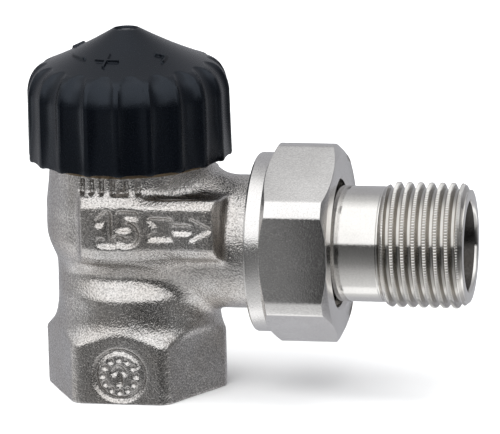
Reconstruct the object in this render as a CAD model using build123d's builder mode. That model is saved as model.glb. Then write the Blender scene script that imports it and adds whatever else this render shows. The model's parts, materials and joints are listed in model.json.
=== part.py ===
from build123d import *
import math
import os

# Thermostatic radiator valve, angle pattern, size 1/2, with its protective cap.
# All lengths are in millimetres. Z is the spindle axis and the inlet socket
# opens downwards at Z = 0. The outlet leaves along +X.

# ---------------------------------------------------------------- driving dimensions
outlet_axis_z = 25.0          # inlet face to outlet axis
tail_end_x = 57.0             # spindle axis to the free end of the tailpiece
cap_top_z = 60.9              # inlet face to the rim of the cap's tip
valve_stroke = 3.0            # travel of the spindle from closed to open

# female pipe thread Rp 1/2 in the inlet, male thread 1/2 on the tailpiece
inlet_minor_radius = 9.316
tail_crest_radius = 10.4
pipe_thread_pitch = 25.4 / 14

# union thread G 3/4, shown as plain cylinders with a little clearance
union_crest_radius = 13.0
union_nut_bore_radius = 13.25

# head thread M30 x 1.5 on the neck
head_crest_radius = 15.0
head_thread_pitch = 1.5
neck_top_z = 46.0
closing_height = 11.8         # neck face to pin tip, valve closed

# clearances
running_gap = 0.10            # shaft in its bore, radial
free_gap = 0.30               # neighbours that move past each other

# ---------------------------------------------------------------- body dimensions
hex_across_flats = 27.0
hex_turned_radius = 15.1      # hexagon corners turned back to this radius
hex_height = 10.0
waist_radius = 12.85
waist_bottom_z = 13.1
waist_top_z = 23.2
chamber_radius = 14.2
chamber_bottom_z = 25.6
chamber_top_z = 32.3
relief_radius = 13.3          # below the head thread
relief_bottom_z = 38.2
head_thread_bottom_z = 39.9
branch_radius = 11.1
socket_depth = 13.0
socket_chamfer = 1.0
seat_radius = 6.0
seat_lip_radius = 7.4
seat_z = 16.5
chamber_floor_z = 15.0
chamber_bore_radius = 9.8
insert_ledge_z = 32.2
insert_bore_radius = 11.0
flange_seat_radius = 12.2
flange_seat_z = 44.6
outlet_bore_radius = 7.0
union_face_x = 30.6
union_thread_x = 22.2
cone_bottom_x = 27.2
cone_slope = math.tan(math.radians(30))
pad_front_y = -14.8
pad_bottom_z = 26.9
pad_top_z = 33.8
pad_left_x = -5.6
pad_right_x = 17.0
back_pad_right_x = 12.0

outlet_plane = Plane(origin=(0, 0, outlet_axis_z), x_dir=(1, 0, 0), z_dir=(0, -1, 0))
outlet_axis = Axis((0, 0, outlet_axis_z), (1, 0, 0))

os.makedirs("parts", exist_ok=True)


def save(builder, name):
    """Label a finished piece and write it as its own STEP file."""
    builder.part.label = name
    export_step(builder.part, f"parts/{name}.step")


def seal_ring(centre_radius, section_radius, centre_z):
    """A round-section rubber ring about the spindle axis."""
    with BuildPart() as ring:
        with BuildSketch(Plane.XZ):
            with Locations((centre_radius, centre_z)):
                Circle(section_radius)
        revolve(axis=Axis.Z)
    return ring


def turned(points, sketch_plane=Plane.XZ, axis=Axis.Z):
    """A piece turned on the lathe from its closed half profile."""
    with BuildPart() as piece:
        with BuildSketch(sketch_plane):
            with BuildLine():
                Polyline(*points, close=True)
            make_face()
        revolve(axis=axis)
    return piece


# ---------------------------------------------------------------- valve body
with BuildPart() as valve_body:
    # inlet hexagon, corners on +X and -X, turned round and sloped into the waist
    with BuildSketch(Plane.XY):
        RegularPolygon(hex_across_flats / 2, 6, major_radius=False)
    extrude(amount=waist_bottom_z)
    with BuildSketch(Plane.XZ):
        with BuildLine():
            Polyline(
                (0, 0),
                (hex_turned_radius - 0.5, 0),
                (hex_turned_radius, 0.5),
                (hex_turned_radius, hex_height),
                (waist_radius, waist_bottom_z),
                (0, waist_bottom_z),
                close=True,
            )
        make_face()
    revolve(axis=Axis.Z, mode=Mode.INTERSECT)
    # waist, chamber and neck
    with BuildSketch(Plane.XZ):
        with BuildLine():
            Polyline(
                (0, waist_bottom_z - 1),
                (waist_radius, waist_bottom_z - 1),
                (waist_radius, waist_top_z),
                (chamber_radius, chamber_bottom_z),
                (chamber_radius, chamber_top_z),
                (relief_radius + 0.3, relief_bottom_z - 1.6),
                (relief_radius, relief_bottom_z),
                (relief_radius, head_thread_bottom_z),
                (head_crest_radius, head_thread_bottom_z + 0.9),
                (head_crest_radius, neck_top_z - 0.9),
                (head_crest_radius - 0.9, neck_top_z),
                (0, neck_top_z),
                close=True,
            )
        make_face()
    revolve(axis=Axis.Z)
    # outlet branch with the union thread at its end
    with BuildSketch(outlet_plane):
        with BuildLine():
            Polyline(
                (0, 0),
                (0, branch_radius),
                (union_thread_x, branch_radius),
                (union_thread_x + 0.9, union_crest_radius),
                (union_face_x - 0.9, union_crest_radius),
                (union_face_x, union_crest_radius - 0.9),
                (union_face_x, 0),
                close=True,
            )
        make_face()
    revolve(axis=outlet_axis)
    # rib that fills the corner between the branch and the inlet socket
    with BuildSketch(Plane.XZ.offset(-5.5)):
        with BuildLine():
            Polyline(
                (8, waist_bottom_z - 2),
                (waist_radius + 0.6, waist_bottom_z - 1.5),
                (15.6, outlet_axis_z - branch_radius + 1),
                (8, outlet_axis_z - branch_radius + 6),
                close=True,
            )
        make_face()
    extrude(amount=11)
    # flat marking pads on the chamber, the back one shorter
    for pad_y, right_x in ((pad_front_y, pad_right_x), (-pad_front_y, back_pad_right_x)):
        with BuildSketch(Plane.XZ.offset(-pad_y)):
            with Locations(((pad_left_x + right_x) / 2, (pad_bottom_z + pad_top_z) / 2)):
                RectangleRounded(right_x - pad_left_x, pad_top_z - pad_bottom_z, 1.2)
        extrude(amount=pad_y, taper=-6)
    # inlet socket, seat and chamber
    with BuildSketch(Plane.XZ):
        with BuildLine():
            Polyline(
                (0, -1),
                (inlet_minor_radius + socket_chamfer + 1, -1),
                (inlet_minor_radius, socket_chamfer),
                (inlet_minor_radius, socket_depth),
                (seat_radius, socket_depth + 1.0),
                (seat_radius, seat_z),
                (seat_lip_radius, seat_z),
                (seat_lip_radius + 0.4, chamber_floor_z),
                (chamber_bore_radius, chamber_floor_z),
                (chamber_bore_radius, insert_ledge_z),
                (insert_bore_radius, insert_ledge_z),
                (insert_bore_radius, flange_seat_z),
                (flange_seat_radius, flange_seat_z),
                (flange_seat_radius, neck_top_z + 1),
                (0, neck_top_z + 1),
                close=True,
            )
        make_face()
    revolve(axis=Axis.Z, mode=Mode.SUBTRACT)
    # outlet bore and the cone that the tailpiece seals on
    cone_mouth_radius = outlet_bore_radius + (union_face_x - cone_bottom_x) * cone_slope
    with BuildSketch(outlet_plane):
        with BuildLine():
            Polyline(
                (0, 0),
                (0, outlet_bore_radius),
                (cone_bottom_x, outlet_bore_radius),
                (union_face_x, cone_mouth_radius),
                (union_face_x + 1, cone_mouth_radius),
                (union_face_x + 1, 0),
                close=True,
            )
        make_face()
    revolve(axis=outlet_axis, mode=Mode.SUBTRACT)
save(valve_body, "valve_body")

# ---------------------------------------------------------------- insert housing
housing_flange_radius = 12.1
housing_barrel_radius = insert_bore_radius - running_gap
housing_hex_flats = 16.0
housing_hex_top_z = 48.5
preset_tube_radius = 6.05
housing_seal_z = 42.6
housing_seal_section = 0.53
cage_flange_top_z = 33.0

with BuildPart() as insert_housing:
    with BuildSketch(Plane.XZ):
        with BuildLine():
            Polyline(
                (0, cage_flange_top_z),
                (housing_barrel_radius, cage_flange_top_z),
                (housing_barrel_radius, housing_seal_z - 0.7),
                (housing_barrel_radius - 1.0, housing_seal_z - 0.7),
                (housing_barrel_radius - 1.0, housing_seal_z + 0.7),
                (housing_barrel_radius, housing_seal_z + 0.7),
                (housing_barrel_radius, flange_seat_z),
                (housing_flange_radius, flange_seat_z),
                (housing_flange_radius, neck_top_z - 0.3),
                (housing_flange_radius - 0.3, neck_top_z),
                (0, neck_top_z),
                close=True,
            )
        make_face()
    revolve(axis=Axis.Z)
    # hexagon for the socket key
    with BuildSketch(Plane.XY.offset(neck_top_z)):
        RegularPolygon(housing_hex_flats / 2, 6, major_radius=False)
    extrude(amount=housing_hex_top_z - neck_top_z)
    chamfer(insert_housing.faces().sort_by(Axis.Z)[-1].edges(), 0.4)
    # bore for the preset tube
    with Locations((0, 0, housing_hex_top_z)):
        Hole(preset_tube_radius + running_gap)
save(insert_housing, "insert_housing")

housing_oring = seal_ring(
    housing_barrel_radius - 1.0 + housing_seal_section + 0.01, housing_seal_section, housing_seal_z
)
save(housing_oring, "housing_oring")

# ---------------------------------------------------------------- port cage
cage_outer_radius = 9.6
cage_inner_radius = 8.9
cage_bottom_z = 16.0
cage_port_width = 9.6
cage_port_height = 12.0

with BuildPart() as port_cage:
    with BuildSketch(Plane.XY.offset(cage_bottom_z)):
        Circle(cage_outer_radius)
        Circle(cage_inner_radius, mode=Mode.SUBTRACT)
    extrude(amount=cage_flange_top_z - cage_bottom_z)
    with BuildSketch(Plane.XY.offset(insert_ledge_z)):
        Circle(housing_barrel_radius)
        Circle(cage_inner_radius, mode=Mode.SUBTRACT)
    extrude(amount=cage_flange_top_z - insert_ledge_z)
    # the one port, facing the outlet
    with BuildSketch(Plane.YZ):
        with Locations((0, outlet_axis_z)):
            RectangleRounded(cage_port_width, cage_port_height, 1.5)
    extrude(amount=cage_outer_radius + 1, mode=Mode.SUBTRACT)
save(port_cage, "port_cage")

# ---------------------------------------------------------------- throttle sleeve
sleeve_outer_radius = cage_inner_radius - free_gap
sleeve_inner_radius = 7.9
sleeve_bottom_z = 17.0
sleeve_plate_bottom_z = 30.4
sleeve_plate_top_z = 32.4
spindle_radius = 1.5
spring_floor_z = 34.0
preset_bore_radius = 4.0
preset_tube_top_z = 52.4
inner_seal_z = 32.4
spindle_seal_section = 0.5
seal_groove_radius = 2.65
seal_groove_half_height = 0.6
preset_positions = 8
preset_step = 40.0
smallest_port_radius = 0.6
largest_port_radius = 2.7
dial_bottom_z = housing_hex_top_z + free_gap
dial_top_z = 51.0
snap_ring_z = dial_top_z + 0.05
snap_ring_height = 0.6
tube_groove_depth = 0.45
throttle_seal_z = 38.0

with BuildPart() as throttle_sleeve:
    with BuildSketch(Plane.XZ):
        with BuildLine():
            Polyline(
                (sleeve_inner_radius, sleeve_bottom_z),
                (sleeve_outer_radius, sleeve_bottom_z),
                (sleeve_outer_radius, sleeve_plate_top_z),
                (preset_tube_radius, sleeve_plate_top_z),
                (preset_tube_radius, throttle_seal_z - seal_groove_half_height),
                (preset_tube_radius - 0.9, throttle_seal_z - seal_groove_half_height),
                (preset_tube_radius - 0.9, throttle_seal_z + seal_groove_half_height),
                (preset_tube_radius, throttle_seal_z + seal_groove_half_height),
                (preset_tube_radius, snap_ring_z),
                (preset_tube_radius - tube_groove_depth, snap_ring_z),
                (preset_tube_radius - tube_groove_depth, snap_ring_z + snap_ring_height),
                (preset_tube_radius, snap_ring_z + snap_ring_height),
                (preset_tube_radius, preset_tube_top_z),
                (preset_bore_radius, preset_tube_top_z),
                (preset_bore_radius, spring_floor_z),
                (spindle_radius + running_gap, spring_floor_z),
                (spindle_radius + running_gap, inner_seal_z + seal_groove_half_height),
                (seal_groove_radius, inner_seal_z + seal_groove_half_height),
                (seal_groove_radius, inner_seal_z - seal_groove_half_height),
                (spindle_radius + running_gap, inner_seal_z - seal_groove_half_height),
                (spindle_radius + running_gap, sleeve_plate_bottom_z),
                (sleeve_inner_radius, sleeve_plate_bottom_z),
                close=True,
            )
        make_face()
    revolve(axis=Axis.Z)
    # eight metering ports, the largest one facing the outlet
    for position in range(preset_positions):
        share = position / (preset_positions - 1)
        port_radius = largest_port_radius + share * (smallest_port_radius - largest_port_radius)
        bearing = math.radians(position * preset_step)
        port_plane = Plane(
            origin=(0, 0, outlet_axis_z), z_dir=(math.cos(bearing), -math.sin(bearing), 0)
        )
        with BuildSketch(port_plane):
            Circle(port_radius)
        extrude(amount=sleeve_outer_radius + 1, mode=Mode.SUBTRACT)
save(throttle_sleeve, "throttle_sleeve")

throttle_oring = seal_ring(preset_tube_radius - 0.9 + 0.46, 0.45, throttle_seal_z)
save(throttle_oring, "throttle_oring")

# ---------------------------------------------------------------- preset dial
dial_radius = 9.0
dial_notches = 24
dial_mark_depth = 0.3

with BuildPart() as preset_dial:
    with BuildSketch(Plane.XY.offset(dial_bottom_z)):
        Circle(dial_radius)
        Circle(preset_tube_radius, mode=Mode.SUBTRACT)
    extrude(amount=dial_top_z - dial_bottom_z)
    # grip notches round the edge
    with BuildSketch(Plane.XY.offset(dial_bottom_z)):
        with PolarLocations(dial_radius + 0.1, dial_notches):
            Circle(0.45)
    extrude(amount=dial_top_z - dial_bottom_z, mode=Mode.SUBTRACT)
    # one engraved bar for each setting, longer as the setting rises
    for position in range(preset_positions):
        bar_length = 2.0 - 0.15 * position
        bar_radius = preset_tube_radius + 0.4 + bar_length / 2
        bearing = -math.radians(position * preset_step)
        bar_plane = Plane(
            origin=(bar_radius * math.cos(bearing), bar_radius * math.sin(bearing), dial_top_z),
            x_dir=(math.cos(bearing), math.sin(bearing), 0),
            z_dir=(0, 0, 1),
        )
        with BuildSketch(bar_plane):
            Rectangle(bar_length, 0.4)
        extrude(amount=-dial_mark_depth, mode=Mode.SUBTRACT)
save(preset_dial, "preset_dial")

# ---------------------------------------------------------------- dial snap ring
snap_ring_gap = 3.0
with BuildPart() as dial_snap_ring:
    with BuildSketch(Plane.XY.offset(snap_ring_z)):
        Circle(preset_tube_radius + 0.75)
        Circle(preset_tube_radius - tube_groove_depth, mode=Mode.SUBTRACT)
        with Locations((0, -preset_tube_radius)):
            Rectangle(snap_ring_gap, 3, mode=Mode.SUBTRACT)
    extrude(amount=snap_ring_height)
save(dial_snap_ring, "dial_snap_ring")

# ---------------------------------------------------------------- gland nut
gland_bottom_z = 48.4
gland_top_z = 54.6
gland_hex_flats = 9.0
outer_seal_z = 49.8

with BuildPart() as gland_nut:
    with BuildSketch(Plane.XY.offset(gland_bottom_z)):
        Circle(preset_bore_radius)
    extrude(amount=preset_tube_top_z - gland_bottom_z)
    with BuildSketch(Plane.XY.offset(preset_tube_top_z)):
        RegularPolygon(gland_hex_flats / 2, 6, major_radius=False)
    extrude(amount=gland_top_z - preset_tube_top_z)
    chamfer(gland_nut.faces().sort_by(Axis.Z)[-1].edges(), 0.35)
    with Locations((0, 0, gland_top_z)):
        Hole(spindle_radius + running_gap)
    with BuildSketch(Plane.XY.offset(outer_seal_z - seal_groove_half_height)):
        Circle(seal_groove_radius)
    extrude(amount=2 * seal_groove_half_height, mode=Mode.SUBTRACT)
save(gland_nut, "gland_nut")

seal_centre_radius = spindle_radius + 0.08 + spindle_seal_section
gland_outer_oring = seal_ring(seal_centre_radius, spindle_seal_section, outer_seal_z)
save(gland_outer_oring, "gland_outer_oring")

gland_inner_oring = seal_ring(seal_centre_radius, spindle_seal_section, inner_seal_z)
save(gland_inner_oring, "gland_inner_oring")

# ---------------------------------------------------------------- spindle
pin_tip_z = neck_top_z + closing_height
pin_bottom_z = 43.5
pin_head_radius = 2.4
pin_head_height = 1.5
circlip_z = 42.4
circlip_height = 0.6
circlip_groove_radius = 1.15
spindle_bottom_z = 14.4

actuating_pin = turned(
    [
        (0, pin_bottom_z),
        (pin_head_radius, pin_bottom_z),
        (pin_head_radius, pin_bottom_z + pin_head_height - 0.3),
        (pin_head_radius - 0.3, pin_bottom_z + pin_head_height),
        (spindle_radius, pin_bottom_z + pin_head_height),
        (spindle_radius, pin_tip_z - 0.6),
        (spindle_radius - 0.6, pin_tip_z),
        (0, pin_tip_z),
    ]
)
save(actuating_pin, "actuating_pin")

spindle = turned(
    [
        (0, spindle_bottom_z),
        (spindle_radius - 0.3, spindle_bottom_z),
        (spindle_radius, spindle_bottom_z + 0.3),
        (spindle_radius, circlip_z),
        (circlip_groove_radius, circlip_z),
        (circlip_groove_radius, circlip_z + circlip_height),
        (spindle_radius, circlip_z + circlip_height),
        (spindle_radius, pin_bottom_z),
        (0, pin_bottom_z),
    ]
)
save(spindle, "spindle")

with BuildPart() as spindle_circlip:
    with BuildSketch(Plane.XY.offset(circlip_z)):
        Circle(2.8)
        Circle(circlip_groove_radius, mode=Mode.SUBTRACT)
        with Locations((0, -2)):
            Rectangle(2 * circlip_groove_radius - 0.4, 4, mode=Mode.SUBTRACT)
    extrude(amount=circlip_height)
save(spindle_circlip, "spindle_circlip")

# ---------------------------------------------------------------- return spring
spring_seat_height = 1.0
spring_seat_radius = 3.6
spring_top_z = circlip_z - spring_seat_height
spring_wire_radius = 0.35
spring_mean_radius = 2.85
spring_coils = 6

with BuildPart() as spring_seat:
    with BuildSketch(Plane.XY.offset(spring_top_z)):
        Circle(spring_seat_radius)
        Circle(spindle_radius, mode=Mode.SUBTRACT)
    extrude(amount=spring_seat_height)
save(spring_seat, "spring_seat")

spring_height = spring_top_z - spring_floor_z - 2 * spring_wire_radius
with BuildPart() as return_spring:
    with BuildLine(Plane.XY.offset(spring_floor_z + spring_wire_radius)) as coil:
        Helix(spring_height / spring_coils, spring_height, spring_mean_radius)
    with BuildSketch(Plane(coil.line @ 0, z_dir=coil.line % 0)):
        Circle(spring_wire_radius)
    sweep(path=coil.line, is_frenet=True)
save(return_spring, "return_spring")

# ---------------------------------------------------------------- valve disc
disc_radius = 6.9
disc_seal_radius = 6.6
seal_lift = 0.05
disc_seal_bottom_z = seat_z + seal_lift
disc_seal_height = 2.0
disc_seal_top_z = disc_seal_bottom_z + disc_seal_height
disc_plate_height = 1.4
disc_nut_flats = 5.5
disc_nut_height = 1.6

disc_holder = turned(
    [
        (spindle_radius, disc_seal_top_z),
        (disc_seal_radius, disc_seal_top_z),
        (disc_seal_radius, disc_seal_top_z - 1.2),
        (disc_radius, disc_seal_top_z - 1.2),
        (disc_radius, disc_seal_top_z + disc_plate_height - 0.4),
        (disc_radius - 0.4, disc_seal_top_z + disc_plate_height),
        (2.6, disc_seal_top_z + disc_plate_height),
        (2.6, disc_seal_top_z + disc_plate_height + 1.2),
        (spindle_radius, disc_seal_top_z + disc_plate_height + 1.2),
    ]
)
save(disc_holder, "disc_holder")

with BuildPart() as disc_seal:
    with BuildSketch(Plane.XY.offset(disc_seal_bottom_z)):
        Circle(disc_seal_radius)
        Circle(spindle_radius, mode=Mode.SUBTRACT)
    extrude(amount=disc_seal_height)
save(disc_seal, "disc_seal")

with BuildPart() as disc_nut:
    with BuildSketch(Plane.XY.offset(disc_seal_bottom_z - disc_nut_height)):
        RegularPolygon(disc_nut_flats / 2, 6, major_radius=False)
        Circle(spindle_radius, mode=Mode.SUBTRACT)
    extrude(amount=disc_nut_height)
save(disc_nut, "disc_nut")

# ---------------------------------------------------------------- protective cap
cap_rim_z = 39.4
cap_rib_radius = 17.05
cap_wall_top_z = 50.6
cap_shoulder_radius = 13.6
cap_shoulder_z = 55.3
cap_tip_radius = 2.2
cap_tip_recess = 0.3
cap_bore_radius = head_crest_radius + 0.2
cap_flutes = 20
cap_rib_bearing = -84.0       # one rib stands at this angle from +X
flute_depth = 0.85
flute_radius = 3.6
flute_bottom_radius = cap_rib_radius - flute_depth
press_disc_radius = 2.6
press_disc_height = 1.0
press_disc_top_z = pin_tip_z + press_disc_height

with BuildPart() as protective_cap:
    with BuildSketch(Plane.XZ):
        with BuildLine():
            Polyline(
                (press_disc_radius, pin_tip_z - 0.3),
                (press_disc_radius + 1.4, pin_tip_z - 0.9),
                (14.6, 51.2),
                (14.8, 47.2),
                (cap_bore_radius, 46.9),
                (cap_bore_radius, cap_rim_z + 0.6),
                (cap_bore_radius + 0.4, cap_rim_z),
                (cap_rib_radius - 0.3, cap_rim_z),
                (cap_rib_radius, cap_rim_z + 0.3),
                (cap_rib_radius - 0.15, cap_wall_top_z),
            )
            ThreePointArc(
                (cap_rib_radius - 0.15, cap_wall_top_z),
                (cap_rib_radius - 1.2, cap_wall_top_z + 3.1),
                (cap_shoulder_radius, cap_shoulder_z),
            )
            ThreePointArc(
                (cap_shoulder_radius, cap_shoulder_z),
                ((cap_shoulder_radius + cap_tip_radius) / 2, 57.75),
                (cap_tip_radius, cap_top_z),
            )
            Polyline(
                (cap_tip_radius, cap_top_z),
                (cap_tip_radius - 0.2, cap_top_z - cap_tip_recess),
                (0, cap_top_z - cap_tip_recess),
                (0, press_disc_top_z),
                (press_disc_radius, press_disc_top_z),
                (press_disc_radius, pin_tip_z - 0.3),
            )
        make_face()
    revolve(axis=Axis.Z)
    # finger flutes with a narrow rib between each two
    with BuildSketch(Plane.XY.offset(cap_rim_z)):
        with PolarLocations(
            flute_bottom_radius + flute_radius, cap_flutes, start_angle=cap_rib_bearing + 180 / cap_flutes
        ):
            Circle(flute_radius)
    extrude(amount=cap_shoulder_z - cap_rim_z, mode=Mode.SUBTRACT)
save(protective_cap, "protective_cap")

with BuildPart() as cap_press_disc:
    with BuildSketch(Plane.XY.offset(pin_tip_z)):
        Circle(press_disc_radius)
    extrude(amount=press_disc_height)
save(cap_press_disc, "cap_press_disc")

# ---------------------------------------------------------------- tailpiece
tail_bore_radius = 7.5
tail_plain_radius = 9.6
tail_flange_radius = 11.8
tail_flange_x = 30.9
tail_flange_width = 1.4
tail_thread_x = 42.9
tail_nose_x = 28.0
nose_gap = 0.06
nose_start_radius = outlet_bore_radius + (tail_nose_x - cone_bottom_x) * cone_slope - nose_gap
nose_end_radius = outlet_bore_radius + (tail_flange_x - cone_bottom_x) * cone_slope - nose_gap
end_face_radius = 9.3

tailpiece = turned(
    [
        (tail_nose_x, nose_start_radius - 0.35),
        (tail_nose_x + 0.2, nose_start_radius + 0.2 * cone_slope),
        (tail_flange_x, nose_end_radius),
        (tail_flange_x, tail_flange_radius),
        (tail_flange_x + tail_flange_width, tail_flange_radius),
        (tail_flange_x + tail_flange_width, tail_plain_radius),
        (tail_thread_x, tail_plain_radius),
        (tail_thread_x + 0.9, tail_crest_radius),
        (tail_end_x - 0.7, tail_crest_radius),
        (tail_end_x, end_face_radius),
        (tail_end_x, tail_bore_radius + 0.25),
        (tail_end_x - 0.5, tail_bore_radius),
        (tail_flange_x + 3, tail_bore_radius),
        (tail_nose_x, outlet_bore_radius),
    ],
    outlet_plane,
    outlet_axis,
)
save(tailpiece, "tailpiece")

# ---------------------------------------------------------------- union nut
nut_back_x = 21.6
nut_hex_x = 24.3
nut_face_x = 35.5
nut_lip_x = tail_flange_x + tail_flange_width + 0.05
nut_across_flats = 30.0
nut_turned_radius = 16.6
nut_skirt_radius = 14.9
nut_lip_bore_radius = 10.65
nut_flat_tilt = 2.6           # the front flat leans back by this angle
nut_chamfer_slope = math.tan(math.radians(30))

with BuildPart() as union_nut:
    nut_face_plane = Plane(origin=(nut_back_x, 0, outlet_axis_z), x_dir=(0, 1, 0), z_dir=(1, 0, 0))
    with BuildSketch(nut_face_plane):
        RegularPolygon(nut_across_flats / 2, 6, major_radius=False, rotation=30 - nut_flat_tilt)
    extrude(amount=nut_face_x - nut_back_x)
    corner_run = (nut_turned_radius - nut_across_flats / 2) * nut_chamfer_slope
    with BuildSketch(outlet_plane):
        with BuildLine():
            Polyline(
                (nut_back_x, 0),
                (nut_back_x, nut_skirt_radius - 0.4),
                (nut_back_x + 0.4, nut_skirt_radius),
                (nut_hex_x, nut_skirt_radius),
                (nut_hex_x, nut_across_flats / 2),
                (nut_hex_x + corner_run, nut_turned_radius),
                (nut_face_x - corner_run, nut_turned_radius),
                (nut_face_x, nut_across_flats / 2),
                (nut_face_x, 0),
                close=True,
            )
        make_face()
    revolve(axis=outlet_axis, mode=Mode.INTERSECT)
    with BuildSketch(outlet_plane):
        with BuildLine():
            Polyline(
                (nut_back_x, 0),
                (nut_back_x, union_nut_bore_radius + 0.5),
                (nut_back_x + 0.5, union_nut_bore_radius),
                (union_face_x, union_nut_bore_radius),
                (union_face_x + 0.6, tail_flange_radius + free_gap),
                (nut_lip_x, tail_flange_radius + free_gap),
                (nut_lip_x, nut_lip_bore_radius),
                (nut_face_x - 0.4, nut_lip_bore_radius),
                (nut_face_x, nut_lip_bore_radius + 0.4),
                (nut_face_x, 0),
                close=True,
            )
        make_face()
    revolve(axis=outlet_axis, mode=Mode.SUBTRACT)
save(union_nut, "union_nut")
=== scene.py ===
import json
import math

import bmesh
import bpy
import numpy as np
from mathutils import Matrix, Vector


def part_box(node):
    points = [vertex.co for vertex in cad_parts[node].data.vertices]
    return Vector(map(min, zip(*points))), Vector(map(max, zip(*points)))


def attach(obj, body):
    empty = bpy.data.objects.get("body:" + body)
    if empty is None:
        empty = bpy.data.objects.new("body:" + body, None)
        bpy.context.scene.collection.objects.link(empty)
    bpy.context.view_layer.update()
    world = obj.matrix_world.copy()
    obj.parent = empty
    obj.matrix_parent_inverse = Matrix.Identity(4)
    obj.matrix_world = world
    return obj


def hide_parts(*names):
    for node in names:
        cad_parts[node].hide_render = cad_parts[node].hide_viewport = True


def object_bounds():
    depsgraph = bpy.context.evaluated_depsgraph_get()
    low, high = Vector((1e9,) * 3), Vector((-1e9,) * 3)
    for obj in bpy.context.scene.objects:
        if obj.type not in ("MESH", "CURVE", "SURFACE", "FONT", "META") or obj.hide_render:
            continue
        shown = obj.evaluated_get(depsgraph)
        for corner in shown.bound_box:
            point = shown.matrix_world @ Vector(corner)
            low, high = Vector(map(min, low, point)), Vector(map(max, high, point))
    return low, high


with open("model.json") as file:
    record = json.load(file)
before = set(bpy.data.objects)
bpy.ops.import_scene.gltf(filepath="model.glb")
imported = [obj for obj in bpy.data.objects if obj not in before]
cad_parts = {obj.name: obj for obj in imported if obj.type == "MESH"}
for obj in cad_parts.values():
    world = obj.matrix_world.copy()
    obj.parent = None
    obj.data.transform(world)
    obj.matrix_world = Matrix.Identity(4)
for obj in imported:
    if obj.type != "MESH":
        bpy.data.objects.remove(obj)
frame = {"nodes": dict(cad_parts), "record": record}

cad_low, cad_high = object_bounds()

# ------------ driving sizes, in millimetres
MM = 0.001
TURN = 2 * math.pi
record = frame["record"]
mounts = {mount["name"]: mount for mount in record["mounts"]}


def low_high(node):
    """Lowest and highest corner of a CAD node, in millimetres."""
    low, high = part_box(node)
    return [v / MM for v in low], [v / MM for v in high]


outlet_z = mounts["radiator_thread"]["pos_m"][2] / MM
inlet_minor_radius = mounts["inlet_thread"]["dims"]["r_mm"]
tail_crest_radius = mounts["radiator_thread"]["dims"]["r_mm"]
(tail_nose_x, _, _), (tail_end_x, _, _) = low_high("tailpiece")
(nut_back_x, _, _), (nut_face_x, _, _) = low_high("union_nut")
(_, _, cap_rim_z), (cap_rib_radius, _, cap_top_z) = low_high("protective_cap")
(_, _, body_base_z), (union_face_x, _, neck_top_z) = low_high("valve_body")
pin_tip_z = low_high("actuating_pin")[1][2]

pipe_pitch = 25.4 / 14
head_pitch = 1.5
head_crest_radius = 15.0
union_crest_radius = 13.05
thread_depth_share = 0.62      # thread depth over pitch
# one pitch of a thread: (place over the pitch, depth below the crest over the thread's depth,
# share of the cuts across the crest)
thread_section = (
    (-0.5, 1.0, 0.0), (-0.38, 0.96, 0.0), (-0.23, 0.26, 0.3), (-0.17, 0.05, 1.0),
    (-0.03, 0.0, 1.0), (0.11, 0.05, 1.0), (0.17, 0.26, 0.3), (0.38, 0.96, 0.0),
)
weld_distance = 0.0005         # points closer than this become one
shortest_edge = 0.0002         # faces thinner than this are dropped


# ------------ mesh helpers
def new_object(name, data):
    """An object in the scene around a mesh, a lamp or a camera."""
    made = bpy.data.objects.new(name, data)
    bpy.context.scene.collection.objects.link(made)
    return made


def add_mesh(name, points, faces, body, node, materials, sharp_deg):
    """A mesh piece from points in millimetres, welded, facing outwards, in place of a CAD node."""
    mesh = bpy.data.meshes.new(name)
    mesh.from_pydata((np.asarray(points) * MM).tolist(), [], [list(face) for face in faces])
    weld_and_face_out(mesh)
    mesh.shade_smooth()
    mesh.set_sharp_from_angle(angle=math.radians(sharp_deg))
    piece = new_object(name, mesh)
    for material in materials:
        mesh.materials.append(material)
    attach(piece, body)
    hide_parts(node)
    return piece


def weld_and_face_out(mesh):
    """Joins points that coincide, drops collapsed faces and turns all faces outwards."""
    work = bmesh.new()
    work.from_mesh(mesh)
    bmesh.ops.remove_doubles(work, verts=work.verts, dist=weld_distance * MM)
    bmesh.ops.dissolve_degenerate(work, dist=shortest_edge * MM, edges=work.edges)
    bmesh.ops.recalc_face_normals(work, faces=work.faces)
    work.to_mesh(mesh)
    work.free()


def grid_faces(rows, columns):
    """Quads over a grid of points that is stored row by row."""
    index = np.arange(rows * columns).reshape(rows, columns)
    corners = (index[:-1, :-1], index[:-1, 1:], index[1:, 1:], index[1:, :-1])
    return np.stack(corners, axis=-1).reshape(-1, 4)


def turn_angles(columns):
    return np.linspace(0.0, TURN, columns + 1)


def ring(angles, along, radius):
    """One row of a turned piece: its place along the axis and its radius, at every angle."""
    return [along + 0 * angles, radius + 0 * angles]


def rings(angles, outline):
    return [ring(angles, along, radius) for along, radius in outline]


def about_z(angles, rows):
    """Points of a piece turned about the spindle axis."""
    along, radius = np.array(rows).swapaxes(0, 1)
    points = [radius * np.cos(angles), radius * np.sin(angles), along]
    return np.stack(points, axis=-1).reshape(-1, 3)


def about_x(angles, rows):
    """Points of a piece turned about the outlet axis."""
    along, radius = np.array(rows).swapaxes(0, 1)
    points = [along, radius * np.cos(angles), outlet_z + radius * np.sin(angles)]
    return np.stack(points, axis=-1).reshape(-1, 3)


def add_turned(name, about, angles, rows, body, node, materials, sharp_deg):
    """A mesh piece from the rows of a turned shape; about is about_z or about_x."""
    faces = grid_faces(len(rows), len(angles))
    return add_mesh(name, about(angles, rows), faces, body, node, materials, sharp_deg)


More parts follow.
